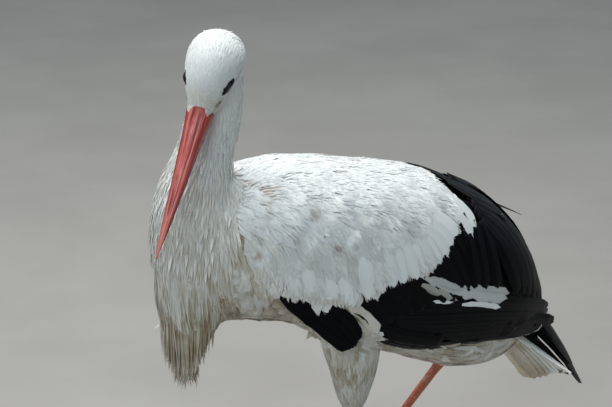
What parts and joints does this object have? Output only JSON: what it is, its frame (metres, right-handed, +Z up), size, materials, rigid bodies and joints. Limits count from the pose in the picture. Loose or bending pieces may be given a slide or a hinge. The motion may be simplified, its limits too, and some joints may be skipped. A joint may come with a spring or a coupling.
{
  "type": "white stork",
  "caption": "Life-size still model of a white stork standing on one leg, head turned, bill lowered, wings folded.",
  "frame": {"origin": "on the floor at the middle of the left sole, where the toes meet", "axes": "+Z up, -Y the way the chest points, +X towards the bird's left side"},
  "size_m": [0.2076, 0.6653, 0.8043],
  "materials": {
    "white_plumage": "matt feathers",
    "black_plumage": "feathers with a faint cool gloss",
    "bill_horn": "smooth horn, satin",
    "leg_skin": "scaly skin",
    "claw_horn": "dull horn",
    "eye_dark": "wet gloss"
  },
  "bodies": {
    "root": {"claw_left_middle": "claw_horn", "claw_left_outer": "claw_horn", "claw_left_inner": "claw_horn", "claw_left_hind": "claw_horn", "claw_right_middle": "claw_horn", "claw_right_outer": "claw_horn", "claw_right_inner": "claw_horn", "claw_right_hind": "claw_horn", "foot_left": "leg_skin", "foot_right": "leg_skin", "tibia_left": "leg_skin", "tarsus_left": "leg_skin", "tibia_right": "leg_skin", "tarsus_right": "leg_skin", "wing_left_coverts": "white_plumage", "wing_left_flight": "black_plumage", "wing_right_coverts": "white_plumage", "wing_right_flight": "black_plumage", "wing_left_alula": "black_plumage", "wing_right_alula": "black_plumage", "wing_left_primaries": "black_plumage", "wing_right_primaries": "black_plumage", "tail": "white_plumage", "head": "white_plumage", "bill_upper": "bill_horn", "bill_lower": "bill_horn", "eye_left": "eye_dark", "eye_right": "eye_dark", "neck": "white_plumage", "breast_plumes": "white_plumage", "trunk": "white_plumage", "thigh_left": "white_plumage", "thigh_right": "white_plumage"}
  },
  "joints": []
}
